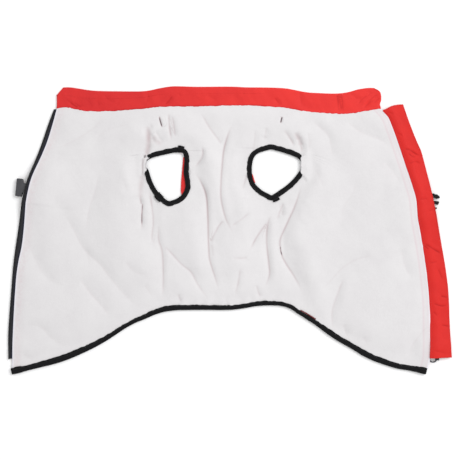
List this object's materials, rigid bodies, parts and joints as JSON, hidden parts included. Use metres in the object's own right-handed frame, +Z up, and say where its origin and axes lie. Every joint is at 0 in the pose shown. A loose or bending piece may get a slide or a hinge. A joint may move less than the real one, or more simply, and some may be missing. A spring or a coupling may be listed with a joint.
{
  "type": "dog winter coat",
  "caption": "Fleece-lined dog coat with a zip along the back, leg holes, stand collar, bound edges and a buckled belt, opened out flat with the lining up.",
  "frame": {"origin": "under the middle of the laid-out coat's outline, on the surface it lies on", "axes": "+X to the right along the coat's girth, +Y from the hem to the collar, +Z up, out of the lining"},
  "size_m": [0.7992, 0.519, 0.0164],
  "materials": {
    "fleece": "short pile fleece, matte",
    "nylon": "plain weave, soft sheen",
    "binding_tape": "ribbed tape, matte",
    "zip_tape": "woven tape, matte",
    "zip_plastic": "satin",
    "webbing": "woven webbing",
    "buckle_grey": "satin",
    "buckle_black": "satin",
    "gunmetal": "polished gunmetal"
  },
  "bodies": {
    "coat": {"lining_left": "fleece", "lining_chest": "fleece", "lining_right": "fleece", "shell_left": "nylon", "shell_chest": "nylon", "shell_right": "nylon", "collar": "nylon", "placket": "nylon", "hem_binding": "binding_tape", "leg_binding_left": "binding_tape", "leg_binding_right": "binding_tape", "zip_tape_left": "zip_tape", "zip_tape_right": "zip_tape", "zip_coil_left": "zip_plastic", "zip_coil_right": "zip_plastic", "zip_pin": "zip_plastic", "zip_box": "zip_plastic", "zip_slider": "gunmetal", "buckle_socket": "buckle_grey", "buckle_plug": "buckle_black", "strap_left": "webbing", "strap_right": "webbing"},
    "pull": {"zip_pull": "gunmetal"}
  },
  "joints": [
    {"name": "pull_swing", "type": "hinge", "parent": "coat", "child": "pull", "pos_m": [0.36818, -0.22511, 0.0023], "axis": [1, 0, 0], "range_deg": [0, 160]}
  ]
}
